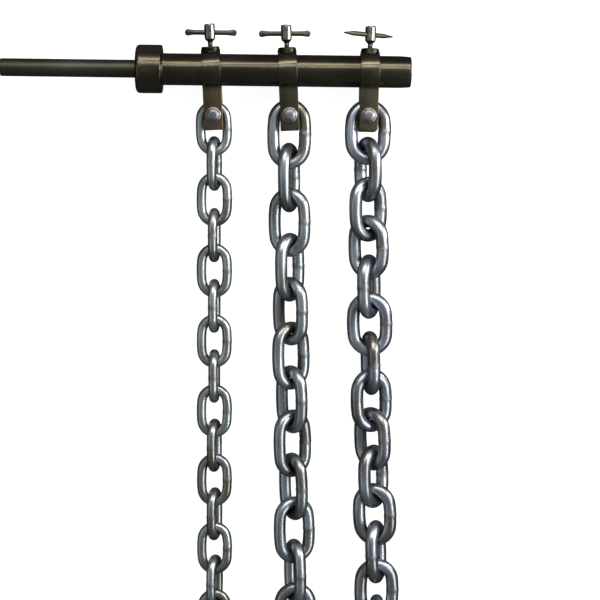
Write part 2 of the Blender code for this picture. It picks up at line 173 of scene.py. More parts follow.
def smooth(mesh, angle=35.0):
    mesh.shade_smooth()
    mesh.set_sharp_from_angle(angle=math.radians(angle))
    return mesh


AXES = {"X": ((0, 0, 1), (0, 1, 0), (1, 0, 0)), "Y": ((1, 0, 0), (0, 0, 1), (0, 1, 0)), "Z": ((1, 0, 0), (0, 1, 0), (0, 0, 1))}


def turned(name, profile, steps=96, axis="X", shape=None, ring_closed=False):
    """A lathe form round an axis from (distance, radius) pairs. shape(distance, radius, angle) may change a radius."""
    u, v, w = (np.array(a, float) for a in AXES[axis])
    angles = np.arange(steps) * 2 * math.pi / steps
    rings = []
    for x, r in profile:
        if r <= 0:
            rings.append([w * x])
            continue
        radii = [shape(x, r, a) if shape else r for a in angles]
        rings.append([w * x + u * q * math.cos(a) + v * q * math.sin(a) for q, a in zip(radii, angles)])
    return smooth(skin(name, rings, closed=ring_closed))


def corner(centre, radius, first, last, steps=6):
    """Points of a rounded edge in a profile, angles in degrees."""
    return [
        (
            centre[0] + radius * math.cos(math.radians(first + (last - first) * i / steps)),
            centre[1] + radius * math.sin(math.radians(first + (last - first) * i / steps)),
        )
        for i in range(steps + 1)
    ]


def combined(mesh, *others):
    """The mesh joined with, or cut by, other closed meshes."""
    obj = bpy.data.objects.new("work", mesh)
    bpy.context.scene.collection.objects.link(obj)
    helpers = []
    for operation, other in others:
        helper = bpy.data.objects.new("work_other", other)
        bpy.context.scene.collection.objects.link(helper)
        helpers.append(helper)
        modifier = obj.modifiers.new(operation, "BOOLEAN")
        modifier.operation = operation
        modifier.solver = "EXACT"
        modifier.object = helper
    bpy.context.view_layer.update()
    graph = bpy.context.evaluated_depsgraph_get()
    made = bpy.data.meshes.new_from_object(obj.evaluated_get(graph))
    made.name = mesh.name + "_joined"
    for o in (obj, *helpers):
        bpy.data.objects.remove(o, do_unlink=True)
    return smooth(made)


pieces = bpy.data.collections.new("chain_set_look")
bpy.context.scene.collection.children.link(pieces)


def stand_for(name, mesh, place, node, look):
    """A finished piece that takes the place of a plain solid and rides where that one rides."""
    obj = bpy.data.objects.new(name, mesh)
    pieces.objects.link(obj)
    obj.matrix_world = place
    mesh.materials.clear()
    mesh.materials.append(look)
    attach(obj, frame["nodes"][node]["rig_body"])
    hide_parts(node)
    return obj


# ----------------------------------------------------------------- materials
def put(tree, kind, values=None, **settings):
    made = tree.nodes.new(kind)
    for key, value in settings.items():
        setattr(made, key, value)
    for key, value in (values or {}).items():
        socket = made.inputs[key]
        if isinstance(value, bpy.types.NodeSocket):
            tree.links.new(value, socket)
        else:
            socket.default_value = value
    return made


def ramp(tree, factor, stops):
    made = put(tree, "ShaderNodeValToRGB", {"Fac": factor})
    bar_of = made.color_ramp
    while len(bar_of.elements) < len(stops):
        bar_of.elements.new(0.5)
    for element, (at, colour) in zip(bar_of.elements, stops):
        element.position = at
        element.color = (*colour, 1.0) if len(colour) == 3 else colour
    return made.outputs["Color"]


def grey(v):
    return (v, v, v)


def blend(tree, factor, first, second, kind="MIX"):
    made = put(tree, "ShaderNodeMix", data_type="RGBA", blend_type=kind)
    for index, value in ((0, factor), (6, first), (7, second)):
        socket = made.inputs[index]
        if isinstance(value, bpy.types.NodeSocket):
            tree.links.new(value, socket)
        else:
            socket.default_value = value if index == 0 else (*value, 1.0)
    return made.outputs[2]


def sums(tree, kind, a, b):
    made = put(tree, "ShaderNodeMath", operation=kind)
    for index, value in enumerate((a, b)):
        if isinstance(value, bpy.types.NodeSocket):
            tree.links.new(value, made.inputs[index])
        else:
            made.inputs[index].default_value = value
    return made.outputs[0]


def stretch(tree, vector, scale):
    made = put(tree, "ShaderNodeVectorMath", operation="MULTIPLY")
    tree.links.new(vector, made.inputs[0])
    made.inputs[1].default_value = scale
    return made.outputs[0]


def speckle(tree, vector, scale, detail=4.0, rough=0.55, distortion=0.0):
    made = put(
        tree,
        "ShaderNodeTexNoise",
        {"Vector": vector, "Scale": scale, "Detail": detail, "Roughness": rough, "Distortion": distortion},
    )
    return made.outputs["Fac"]


def new_look(name):
    made = bpy.data.materials.new(name)
    made.use_nodes = True
    tree = made.node_tree
    shader = tree.nodes["Principled BSDF"]
    shader.inputs["Metallic"].default_value = 1.0
    return made, tree, shader


def chain_look(name, cool, warm, roughness, edge):
    """Plated wire: long drawn streaks, brown and blue-grey patches, rubbed crowns and a heat-tinted weld."""
    made, tree, shader = new_look(name)
    wire = put(tree, "ShaderNodeAttribute", attribute_name="wire").outputs["Vector"]
    rub = put(tree, "ShaderNodeAttribute", attribute_name="rub").outputs["Fac"]
    weld = put(tree, "ShaderNodeAttribute", attribute_name="weld").outputs["Fac"]
    patches = speckle(tree, stretch(tree, wire, (14.0, 60.0, 60.0)), 1.0, 3.0, 0.5)
    drawn = speckle(tree, stretch(tree, wire, (55.0, 900.0, 900.0)), 1.0, 3.0, 0.6)
    grains = speckle(tree, stretch(tree, wire, (700.0, 900.0, 900.0)), 1.0, 2.0, 0.5)
    tone = ramp(tree, patches, [(0.34, warm), (0.50, cool), (0.66, tuple(min(1.0, c * 1.45) for c in cool))])
    streaked = blend(tree, 0.55, tone, ramp(tree, drawn, [(0.3, grey(0.55)), (0.7, grey(1.0))]), "MULTIPLY")
    rubbed = blend(tree, sums(tree, "MULTIPLY", rub, 0.55), streaked, (cool[0] * 0.80, cool[1] * 0.74, cool[2] * 0.92))
    tinted = blend(tree, sums(tree, "MULTIPLY", weld, 0.6), rubbed, tuple(c * 0.7 for c in warm))
    tree.links.new(tinted, shader.inputs["Base Color"])
    rough = sums(tree, "ADD", sums(tree, "MULTIPLY", patches, 0.16), roughness - 0.08)
    rough = sums(tree, "ADD", rough, sums(tree, "MULTIPLY", grains, 0.06))
    rough = sums(tree, "ADD", rough, sums(tree, "MULTIPLY", weld, 0.12))
    tree.links.new(rough, shader.inputs["Roughness"])
    height = sums(tree, "ADD", sums(tree, "MULTIPLY", drawn, 0.7), sums(tree, "MULTIPLY", grains, 0.3))
    bump = put(tree, "ShaderNodeBump", {"Strength": 0.25, "Distance": 0.00025, "Height": height})
    tree.links.new(bump.outputs["Normal"], shader.inputs["Normal"])
    shader.inputs["Specular Tint"].default_value = (*edge, 1.0)
    return made


def turned_look(name, colour, glint, roughness, lines):
    """Steel turned on a lathe: fine lines round the axis, a brown bloom and small scuffs."""
    made, tree, shader = new_look(name)
    place = put(tree, "ShaderNodeTexCoord").outputs["Object"]
    rings = speckle(tree, stretch(tree, place, (lines, 6.0, 6.0)), 1.0, 3.0, 0.65)
    bloom = speckle(tree, stretch(tree, place, (7.0, 16.0, 16.0)), 1.0, 4.0, 0.6, 0.4)
    scuffs = speckle(tree, stretch(tree, place, (30.0, 260.0, 260.0)), 1.0, 5.0, 0.7)
    tone = ramp(tree, bloom, [(0.32, tuple(c * 0.6 for c in colour)), (0.55, colour), (0.78, glint)])
    tone = blend(tree, 0.30, tone, ramp(tree, rings, [(0.35, grey(0.6)), (0.65, grey(1.0))]), "MULTIPLY")
    tone = blend(tree, ramp(tree, scuffs, [(0.66, grey(0.0)), (0.74, grey(0.5))]), tone, glint)
    tree.links.new(tone, shader.inputs["Base Color"])
    rough = sums(tree, "ADD", sums(tree, "MULTIPLY", bloom, 0.14), roughness - 0.07)
    rough = sums(tree, "ADD", rough, sums(tree, "MULTIPLY", rings, 0.06))
    tree.links.new(rough, shader.inputs["Roughness"])
    height = sums(tree, "ADD", sums(tree, "MULTIPLY", rings, 0.8), sums(tree, "MULTIPLY", scuffs, 0.2))
    bump = put(tree, "ShaderNodeBump", {"Strength": 0.18, "Distance": 0.0002, "Height": height})
    tree.links.new(bump.outputs["Normal"], shader.inputs["Normal"])
    shader.inputs["Specular Tint"].default_value = (0.7, 0.7, 0.7, 1.0)
    return made


def strip_look(name, ring, lug, bare, roughness):
    """Rolled strip with a dark patina: olive round the ring, browner on the lugs, rubbed to bare steel along its edges;
    painted shade darkens the boss, its weld bead and the top of the ring.
    """
    made, tree, shader = new_look(name)
    place = put(tree, "ShaderNodeTexCoord").outputs["Object"]
    edge = put(tree, "ShaderNodeNewGeometry").outputs["Pointiness"]
    cloud = speckle(tree, place, 38.0, 5.0, 0.6, 0.6)
    fine = speckle(tree, place, 420.0, 4.0, 0.6)
    rolled = speckle(tree, stretch(tree, place, (500.0, 24.0, 24.0)), 1.0, 3.0, 0.6)
    low = put(
        tree,
        "ShaderNodeMapRange",
        {"Value": put(tree, "ShaderNodeSeparateXYZ", {"Vector": place}).outputs["Y"], "From Min": -0.022, "From Max": -0.036},
    ).outputs[0]
    # painted shade: above 26 to 29 mm the boss, its weld bead and the top of the ring are darkened to 0.3 of the ring
    # colour, so the strip lamps light them less
    high = put(
        tree,
        "ShaderNodeMapRange",
        {"Value": put(tree, "ShaderNodeSeparateXYZ", {"Vector": place}).outputs["Y"], "From Min": 0.0262, "From Max": 0.0292},
    ).outputs[0]
    base = blend(tree, high, blend(tree, low, ring, lug), tuple(c * 0.30 for c in ring))
    tone = blend(tree, 1.0, base, ramp(tree, cloud, [(0.30, grey(0.62)), (0.52, grey(0.95)), (0.72, (1.0, 1.0, 0.92))]), "MULTIPLY")
    tone = blend(tree, 0.30, tone, ramp(tree, fine, [(0.3, grey(0.55)), (0.65, grey(1.0))]), "MULTIPLY")
    worn = sums(tree, "MULTIPLY", ramp(tree, edge, [(0.53, grey(0.0)), (0.62, grey(1.0))]), 0.6)
    worn = sums(tree, "MULTIPLY", worn, ramp(tree, cloud, [(0.3, grey(0.35)), (0.6, grey(1.0))]))
    tone = blend(tree, worn, tone, bare)
    tree.links.new(tone, shader.inputs["Base Color"])
    rough = sums(tree, "ADD", sums(tree, "MULTIPLY", cloud, 0.18), roughness - 0.09)
    rough = sums(tree, "ADD", rough, sums(tree, "MULTIPLY", low, 0.08))
    rough = sums(tree, "SUBTRACT", rough, sums(tree, "MULTIPLY", worn, 0.08))
    tree.links.new(rough, shader.inputs["Roughness"])
    height = sums(tree, "ADD", sums(tree, "MULTIPLY", fine, 0.5), sums(tree, "MULTIPLY", rolled, 0.5))
    bump = put(tree, "ShaderNodeBump", {"Strength": 0.20, "Distance": 0.0003, "Height": height})
    tree.links.new(bump.outputs["Normal"], shader.inputs["Normal"])
    shader.inputs["Specular Tint"].default_value = (0.7, 0.66, 0.6, 1.0)
    return made


def zinc_look(name, colour, dark, roughness):
    """Bright plated hardware: cloudy plating, darker in the hollows, and fine tool marks."""
    made, tree, shader = new_look(name)
    place = put(tree, "ShaderNodeTexCoord").outputs["Object"]
    edge = put(tree, "ShaderNodeNewGeometry").outputs["Pointiness"]
    cloud = speckle(tree, place, 90.0, 4.0, 0.55, 0.3)
    fine = speckle(tree, place, 900.0, 3.0, 0.6)
    tone = ramp(tree, cloud, [(0.3, dark), (0.55, colour), (0.8, tuple(min(1.0, c * 1.2) for c in colour))])
    hollow = ramp(tree, edge, [(0.40, grey(1.0)), (0.49, grey(0.0))])
    tone = blend(tree, hollow, tone, tuple(c * 0.5 for c in dark))
    tree.links.new(tone, shader.inputs["Base Color"])
    rough = sums(tree, "ADD", sums(tree, "MULTIPLY", cloud, 0.16), roughness - 0.08)
    tree.links.new(rough, shader.inputs["Roughness"])
    bump = put(tree, "ShaderNodeBump", {"Strength": 0.15, "Distance": 0.0002, "Height": fine})
    tree.links.new(bump.outputs["Normal"], shader.inputs["Normal"])
    shader.inputs["Specular Tint"].default_value = (0.8, 0.8, 0.8, 1.0)
    return made


BAR_LOOK = turned_look("dark_turned_steel", (0.066, 0.060, 0.043), (0.132, 0.122, 0.098), 0.22, 900.0)
SHAFT_LOOK = turned_look("dark_drawn_shaft", (0.062, 0.059, 0.045), (0.095, 0.091, 0.076), 0.42, 700.0)
CAP_LOOK = turned_look("end_cap_steel", (0.055, 0.050, 0.042), (0.12, 0.11, 0.095), 0.38, 600.0)
CLAMP_LOOKS = [
    strip_look("brown_strip_steel", (0.075, 0.068, 0.050), (0.140, 0.106, 0.066), (0.22, 0.20, 0.165), 0.25),
    strip_look("olive_strip_steel", (0.078, 0.076, 0.055), (0.070, 0.063, 0.042), (0.22, 0.205, 0.17), 0.25),
    strip_look("dull_strip_steel", (0.090, 0.085, 0.060), (0.090, 0.082, 0.058), (0.24, 0.22, 0.18), 0.25),
]
BOLT_LOOK = zinc_look("zinc_fastener", (0.185, 0.180, 0.200), (0.115, 0.108, 0.115), 0.40)
SCREW_LOOK = zinc_look("zinc_screw", (0.19, 0.19, 0.168), (0.10, 0.10, 0.08), 0.28)
TOMMY_LOOK = zinc_look("zinc_tommy_bar", (0.066, 0.066, 0.054), (0.036, 0.036, 0.027), 0.36)
CHAIN_LOOKS = {
    "small": chain_look("small_chain_wire", (0.315, 0.345, 0.352), (0.200, 0.186, 0.155), 0.31, (0.42, 0.42, 0.44)),
    "medium": chain_look("medium_chain_wire", (0.300, 0.332, 0.362), (0.190, 0.182, 0.158), 0.31, (0.38, 0.39, 0.41)),
    "large": chain_look("large_chain_wire", (0.300, 0.328, 0.375), (0.190, 0.180, 0.162), 0.31, (0.38, 0.39, 0.41)),
}

# -------------------------------------------------------------------- bar end
half_shaft = SHAFT_D / 2
stand_for(
    "bar_shaft_finished",
    turned(
        "bar_shaft_finished",
        [(SHAFT_START, 0.0), (SHAFT_START, half_shaft - 4.0)]
        + corner((SHAFT_START + 1.2, half_shaft - 1.2), 1.2, 180, 90)
        + [(x, half_shaft) for x in np.linspace(SHAFT_START + 6.0, SLEEVE_END - CAP_T - 6.0, 40)]
        + [(SLEEVE_END - CAP_T - 4.6, half_shaft), (SLEEVE_END - CAP_T - 4.0, half_shaft - 0.6), (SLEEVE_END - CAP_T - 4.0, 0.0)],
    ),
    BAR,
    "bar_shaft",
    SHAFT_LOOK,
)

fr, sr = FLANGE_D / 2, SLEEVE_D / 2
stand_for(
    "bar_sleeve_finished",
    turned(
        "bar_sleeve_finished",
        corner((FLANGE_START + 1.0, SLEEVE_BORE_D / 2 + 1.0), 1.0, 270, 180, 3)
        + [(FLANGE_START, fr * 0.62), (FLANGE_START, fr - 9.0)]
        + corner((FLANGE_START + 6.5, fr - 6.5), 6.5, 180, 90, 12)
        + [(x, fr) for x in np.linspace(FLANGE_START + 8.0, FLANGE_END - FLANGE_EDGE - 3.0, 6)]
        + corner((FLANGE_END - FLANGE_EDGE, fr - FLANGE_EDGE), FLANGE_EDGE, 90, 0, 8)
        + [(FLANGE_END, fr - 8.0), (FLANGE_END, sr + 4.0)]
        + corner((FLANGE_END + 1.6, sr + 1.6), 1.6, 180, 270, 5)
        + [(x, sr) for x in np.linspace(FLANGE_END + 4.0, SLEEVE_END - 18.0, 46)]
        + [(SLEEVE_END - 14.0, sr - 0.10), (SLEEVE_END - 10.0, sr - 0.32), (SLEEVE_END - 6.0, sr - 0.62), (SLEEVE_END - 4.0, sr - 0.8)]
        + corner((SLEEVE_END - 1.8, sr - 2.8), 1.8, 84, 0, 6)
        + [(SLEEVE_END - 0.3, CAP_SEAT_D / 2)]
        + [(SLEEVE_END - CAP_T, CAP_SEAT_D / 2), (SLEEVE_END - CAP_T, SLEEVE_BORE_D / 2)],
        steps=128,
        ring_closed=True,
    ),
    BAR,
    "bar_sleeve",
    BAR_LOOK,
)

cr = CAP_D / 2
stand_for(
    "sleeve_end_cap_finished",
    turned(
        "sleeve_end_cap_finished",
        [(SLEEVE_END - CAP_T + GAP, 0.0), (SLEEVE_END - CAP_T + GAP, cr - 0.4), (SLEEVE_END - CAP_T + GAP + 0.4, cr)]
        + corner((SLEEVE_END - 1.1, cr - 0.8), 0.8, 90, 0, 5)
        + [(SLEEVE_END - 0.3, cr - 2.6)]
        + corner((SLEEVE_END - 0.9, cr - 3.6), 0.6, 30, -60, 4)[::1]
        + [(SLEEVE_END - 1.3, cr - 4.6), (SLEEVE_END - 1.3, cr * 0.5), (SLEEVE_END - 1.3, 3.4), (SLEEVE_END - 2.4, 1.9), (SLEEVE_END - 3.2, 0.0)],
        steps=96,
    ),
    BAR,
    "sleeve_end_cap",
    CAP_LOOK,
)


# --------------------------------------------------------------------- clamps
def hub_place(number, x):
    """The clamp's own frame: a little askew, and turned round the bar so that its first link points at the height its chain lies at."""
    size = CHAINS[("small", "medium", "large")[number - 1]]
    axis_z = BAR_Z - x * math.sin(TILT)
    reach_y = BOLT_DROP - BOLT_D / 2 + size["length"] - 1.5 * size["d"]
    turn = math.asin((size["width"] / 2 + 0.8 - axis_z) / reach_y)
    skew = Matrix.Rotation(math.radians(CLAMP_SKEW[number - 1]), 4, "Z")
    return Matrix.Translation((x * MM, 0, 0)) @ skew @ Matrix.Rotation(-turn, 4, "X")


def strap_mesh(name, clip, seed):
    """One strip bent into a ring with two straight lugs: a rounded flat section swept along its middle line."""
    rng = random.Random(seed)
    half_t, edge = STRAP_T / 2, 0.8
    lug_z = LUG_GAP / 2 + half_t
    bend = 6.0
    cz = LUG_GAP / 2 + STRAP_T + bend
    cy = -math.sqrt((STRAP_OUT_R + bend) ** 2 - cz**2)
    touch = math.degrees(math.atan2(cy, cz))
    middle_r = STRAP_IN_R + half_t
    line = []  # (z, y, outward z, outward y, distance from the nearer lug end)
    lug = -cy

    def lug_stations():
        near = [0.0, 0.1, 0.3, 0.55, 0.8, 1.2, 1.7, 2.3, 3.0, 4.0, 5.5, 8.0]
        return near + list(np.linspace(12.0, LUG_END - lug - 1.0, 9)) + [LUG_END - lug]

    for t in lug_stations():
        line.append((lug_z, -LUG_END + t, 1.0, 0.0, t))
    far = 99.0
    for i in range(1, 9):  # the bend, from the lug to the ring
        a = math.radians(180 + touch * i / 8)
        line.append((cz + (bend + half_t) * math.cos(a), cy + (bend + half_t) * math.sin(a), -math.cos(a), -math.sin(a), far))
    turns = 84
    for i in range(1, turns):
        a = math.radians(touch + (180 - 2 * touch) * i / turns)
        line.append((middle_r * math.cos(a), middle_r * math.sin(a), math.cos(a), math.sin(a), far))
    for i in range(8, 0, -1):
        a = math.radians(180 + touch * i / 8)
        line.append((-cz - (bend + half_t) * math.cos(a), cy + (bend + half_t) * math.sin(a), math.cos(a), -math.sin(a), far))
    for t in reversed(lug_stations()):
        line.append((-lug_z, -LUG_END + t, -1.0, 0.0, t))

    phase = [rng.uniform(0, 6.28) for _ in range(4)]
    rings = []
    for number, (z, y, nz, ny, t) in enumerate(line):
        sides = []
        for clipped in clip:  # left and right corner of the lug
            short = max(0.0, clipped - t)
            sides.append(STRAP_W / 2 - clipped + math.sqrt(max(clipped**2 - short**2, 0.0)) if short else STRAP_W / 2)
        thick = half_t - edge + math.sqrt(max(edge**2 - max(0.0, edge - t) ** 2, 0.0))
        wave = 0.10 * math.sin(number * 0.23 + phase[0]) + 0.06 * math.sin(number * 0.61 + phase[1])
        left, right = sides[0] - 0.15 + wave * 0.5, sides[1] - 0.15 - wave * 0.5
        radius = min(edge, thick * 0.9)
        section = []
        for cx, ct, first in (
            (right - radius, thick - radius, 0),
            (-left + radius, thick - radius, 90),
            (-left + radius, -thick + radius, 180),
            (right - radius, -thick + radius, 270),
        ):
            section += [
                (cx + radius * math.cos(math.radians(first + 22.5 * i)), ct + radius * math.sin(math.radians(first + 22.5 * i)))
                for i in range(5)
            ]
        rings.append([(u, y + ny * v, z + nz * v) for u, v in section])
    ends = []
    for z, y, *_ in (line[0], line[-1]):
        ends.append([(0.0, y, z)])
    return smooth(skin(name, [ends[0], *rings, ends[1]]))


def hexagon(across, clip):
    """Radius of a hexagon with slightly rounded corners, by angle; a flat faces angle 90 degrees."""

    def radius(angle):
        turn = (math.degrees(angle) - 90.0 + 30.0) % 60.0 - 30.0
        return min(across / 2 / math.cos(math.radians(turn)), clip)

    return radius


def boss_mesh(name, seed):
    """The threaded boss: a round block with a softened top edge, and a weld bead round its foot."""
    rng = random.Random(seed)
    foot, head = BOSS_D / 2 - 0.1, BOSS_D / 2 - 0.9
    phase = [rng.uniform(0, 6.28) for _ in range(3)]

    def shape(y, r, angle):
        if r < 8.5:
            return r
        return r + 0.14 * math.sin(2 * angle + phase[0]) + 0.08 * math.sin(5 * angle + phase[1] + 0.3 * y)

    low = STRAP_IN_R + 1.2
    body = turned(
        name,
        [(low, 0.0), (low, foot - 1.5)]
        + [(y, foot + (head - foot) * (y - low) / (BOSS_TOP - low)) for y in np.linspace(low + 0.6, BOSS_TOP - 1.6, 16)]
        + corner((BOSS_TOP - 1.2, head - 1.2), 1.2, 90, 0, 6)
        + [(BOSS_TOP, head - 3.5), (BOSS_TOP - 0.05, 8.0), (BOSS_TOP - 0.05, 0.0)],
        steps=96,
        axis="Y",
        shape=shape,
    )
    rings = []
    steps = 120
    for i in range(steps):
        a = 2 * math.pi * i / steps
        x, z = (foot - 0.6) * math.cos(a), (foot - 0.6) * math.sin(a)
        y = math.sqrt(STRAP_OUT_R**2 - z**2) - 0.1
        bead = 1.15 + 0.15 * math.sin(i * 0.9) * math.sin(i * 0.37 + phase[2]) + rng.uniform(-0.05, 0.05)
        out = Vector((math.cos(a), 0, math.sin(a)))
        rings.append(
            [
                (x + out.x * bead * math.cos(b), y + bead * math.sin(b), z + out.z * bead * math.cos(b))
                for b in (2 * math.pi * j / 14 for j in range(14))
            ]
        )
    return body, skin(name + "_bead", rings, closed=True)


def rod(name, radius, low, high, axis, steps=48):
    return turned(name, [(low, 0.0), (low, radius), (high, radius), (high, 0.0)], steps=steps, axis=axis)


def tommy_axis(number):
    """The cross hole's own frame in a clamp: its length along X."""
    return (
        Matrix.Translation((0, TOMMY_UP * MM, 0))
        @ Matrix.Rotation(math.radians(TOMMY_TILT[number - 1]), 4, "Z")
        @ Matrix.Rotation(math.radians(TOMMY_TURN[number - 1]), 4, "Y")
    )


def screw_mesh(name, number):
    """The pinch screw: threaded shank, flared neck and barrel head with a cross hole."""
    low, high = SCREW_HEAD
    sh, hh = SCREW_D / 2, SCREW_HEAD_D / 2
    profile = [(sr + GAP, 0.0), (sr + GAP, sh - 1.4), (sr + GAP + 1.0, sh - 0.4)]
    profile += [(y, sh) for y in np.arange(sr + GAP + 1.3, low - 2.6, 0.16)]
    neck = [(low - 2.2, sh - 0.35), (low - 1.2, sh + 0.05), (low - 0.3, sh + 0.5), (low + 0.6, sh + 1.3), (low + 1.6, sh + 2.4)]
    neck += [(low + 2.8, sh + 3.5), (low + 4.0, sh + 4.3), (low + 5.4, hh - 0.25), (low + 7.0, hh)]
    barrel = [(y, hh) for y in np.linspace(low + 8.5, high - 4.0, 8)]
    top = corner((high - 2.6, hh - 2.6), 2.6, 90, 0, 7)
    profile += neck + barrel + top + [(high, hh - 5.0), (high, 0.0)]

    def shape(y, r, angle):
        if r != sh:
            return r
        tooth = (y / 1.25 + angle / (2 * math.pi)) % 1.0
        fade = min(1.0, max(0.0, (low - 2.8 - y) / 0.8))
        return r - 0.62 * fade * (1.0 - abs(2 * tooth - 1.0)) + 0.0

    body = turned(name, profile, steps=64, axis="Y", shape=shape)
    slant = (0.05, -0.04, 0.06)[number - 1]
    for v in body.vertices:  # the top is a little out of square
        share = max(0.0, (v.co.y / MM - (high - 6.0)) / 6.0)
        v.co.y += slant * v.co.x * share
    hole = rod(name + "_hole", TOMMY_D / 2 + 0.45, -30, 30, "X", 48)
    hole.transform(tommy_axis(number))
    return combined(body, ("DIFFERENCE", hole))


def tommy_mesh(name, seed):
    """A round rod hammered flat at both ends into rounded clubs."""
    rng = random.Random(seed)
    half, r = TOMMY_L / 2, TOMMY_D / 2
    keys = [  # distance from the end, share across, share through
        (0.0, 0.0, 0.0), (0.25, 0.42, 0.16), (0.8, 0.80, 0.25), (1.8, 1.10, 0.33), (3.0, 1.28, 0.38), (4.6, 1.37, 0.43),
        (6.5, 1.34, 0.50), (9.0, 1.20, 0.62), (12.0, 1.07, 0.82), (15.0, 1.01, 0.96), (19.0, 1.0, 1.0), (half, 1.0, 1.0),
    ]
    far, across, through = (np.array(k, float) for k in zip(*keys))
    ends = [(1.0 + rng.uniform(-0.04, 0.04), rng.uniform(-0.25, 0.25)) for _ in range(2)]
    steps, rings = 40, []
    stations = [0.0, 0.12, 0.3, 0.6, 1.0, 1.5, 2.1, 2.8, 3.6, 4.6, 5.8, 7.2, 8.8, 10.6, 12.4, 14.4, 16.6, 19.0, 24.0, 30.0, 36.0]
    places = [(-half + t, 0, t) for t in stations] + [(half - t, 1, t) for t in reversed(stations)]
    for x, end, t in places:
        a = float(np.interp(t, far, across)) * (1 + (ends[end][0] - 1) * max(0.0, 1 - t / 15))
        b = float(np.interp(t, far, through))
        if t == 0.0:
            rings.append([(x, 0.0, 0.0)])
            continue
        power = 2.0 + 0.5 * max(0.0, 1 - t / 12)
        skew = ends[end][1] * max(0.0, 1 - t / 12)
        ring = []
        for j in range(steps):
            p = 2 * math.pi * j / steps
            c, s = math.cos(p), math.sin(p)
            ring.append(
                (
                    x,
                    skew + a * r * math.copysign(abs(c) ** (2 / power), c),
                    b * r * math.copysign(abs(s) ** (2 / power), s),
                )
            )
        rings.append(ring)
    return smooth(skin(name, rings), 50)


def bolt_mesh(name):
    """A flanged bolt with a domed hexagon head, its shank through both lugs."""
    face = LUG_GAP / 2 + STRAP_T + GAP
    end = face + NUT_H + 1.0
    flat = hexagon(18.4, 10.35)
    radius = BOLT_D / 2
    profile = [(-end, 0.0), (-end, radius - 1.5), (-end + 0.9, radius - 0.45), (-end + 1.3, radius - 0.45)]
    profile += [(z, radius) for z in np.linspace(-end + 2.0, face - 0.2, 12)]
    head = BOLT_HEAD_D / 2
    profile += [(face, radius), (face, head - 0.7)] + corner((face + 0.6, head - 0.6), 0.6, -90, 45, 4)[1:]
    profile += [(face + 1.6, head - 0.5), (face + 2.0, head - 1.1), (face + 2.25, head - 1.35)]
    dome = [
        (face + 4.6 + 4.7 * math.sin(math.radians(a)), 10.4 * math.cos(math.radians(a)) ** 0.8)
        for a in np.linspace(0, 88, 16)
    ]
    profile += [(face + 2.7, 10.4), (face + 3.4, 10.4)] + dome + [(face + 9.35, 0.0)]

    def shape(z, r, angle):
        return min(r, flat(angle)) if z > face + 2.4 else r

    return turned(name, profile, steps=96, axis="Z", shape=shape)


def nut_mesh(name):
    """A chamfered hexagon nut, bored for the bolt."""
    face = LUG_GAP / 2 + STRAP_T + GAP
    low, high = -face - NUT_H, -face
    flat = hexagon(NUT_AF, NUT_AF / 2 / math.cos(math.radians(30)) - 0.25)
    bore = BOLT_D / 2 + 0.35

    def shape(z, r, angle):
        return min(r, flat(angle)) if r > 7.5 else r

    profile = [(low + 0.5, bore), (low, bore + 0.5), (low, 8.9), (low + 0.6, 9.9), (low + 1.3, 10.8), (low + 2.0, 11.4)]
    profile += [(z, 12.0) for z in np.linspace(low + 2.6, high - 2.6, 4)]
    profile += [(high - 2.0, 11.4), (high - 1.3, 10.8), (high - 0.6, 9.9), (high, 8.9), (high, bore + 0.5), (high - 0.5, bore)]
    return turned(name, profile, steps=96, axis="Z", shape=shape, ring_closed=True)


BOLT_AXIS = Matrix.Translation((0, -BOLT_DROP * MM, 0))
LUG_CORNERS = ((2.2, 2.6), (2.4, 2.2), (2.2, 4.6))
for number, x in enumerate(CLAMP_X, 1):
    name = f"clamp_{number}"
    hub = BAR @ hub_place(number, x)
    boss, bead = boss_mesh(name + "_boss", 7 * number)
    screw_hole = rod(name + "_screw_hole", SCREW_D / 2 + 0.4, 12.0, BOSS_TOP + 8, "Y")
    bolt_hole = rod(name + "_bolt_hole", BOLT_D / 2 + 0.5, -40, 40, "Z")
    bolt_hole.transform(BOLT_AXIS)
    strap = combined(
        strap_mesh(name + "_strap", LUG_CORNERS[number - 1], number),
        ("UNION", boss),
        ("UNION", bead),
        ("DIFFERENCE", screw_hole),
        ("DIFFERENCE", bolt_hole),
    )
    stand_for(name + "_strap_finished", strap, hub, name + "_strap", CLAMP_LOOKS[number - 1])
    twist = Matrix.Rotation(math.radians((11.0, -16.0, 4.0)[number - 1]), 4, "Z")
    stand_for(name + "_bolt_finished", bolt_mesh(name + "_bolt"), hub @ BOLT_AXIS @ twist, name + "_bolt", BOLT_LOOK)
    stand_for(name + "_nut_finished", nut_mesh(name + "_nut"), hub @ BOLT_AXIS, name + "_nut", BOLT_LOOK)
    stand_for(name + "_screw_finished", screw_mesh(name + "_screw", number), hub, name + "_screw", SCREW_LOOK)
    stand_for(
        name + "_tommy_bar_finished",
        tommy_mesh(name + "_tommy_bar", 40 + number),
        hub
        @ tommy_axis(number)
        @ Matrix.Translation((TOMMY_SLIP[number - 1] * MM, 0, 0))
        @ Matrix.Rotation(math.radians(TOMMY_ROLL[number - 1]), 4, "X"),
        name + "_tommy_bar",
        TOMMY_LOOK,
    )


# --------------------------------------------------------------------- chains
def twist_of(name, i):
    """Turn of link i, degrees; past the listed ones the links alternate with a slow wander."""
    listed = TWISTS[name]
    if i < len(listed):
        return listed[i]
    phase = {"small": 0.4, "medium": 1.7, "large": 2.9}[name]
    wander = 9.0 * math.sin(1.9 * i + phase) + 6.0 * math.sin(0.7 * i + 2 * phase)
    upright = (i - len(listed)) % 2 == (0 if abs(listed[-1]) < 45 else 1)
    return (90.0 if upright else 0.0) + (wander if i < CHAINS[name]["links"] - 1 else 0.0)


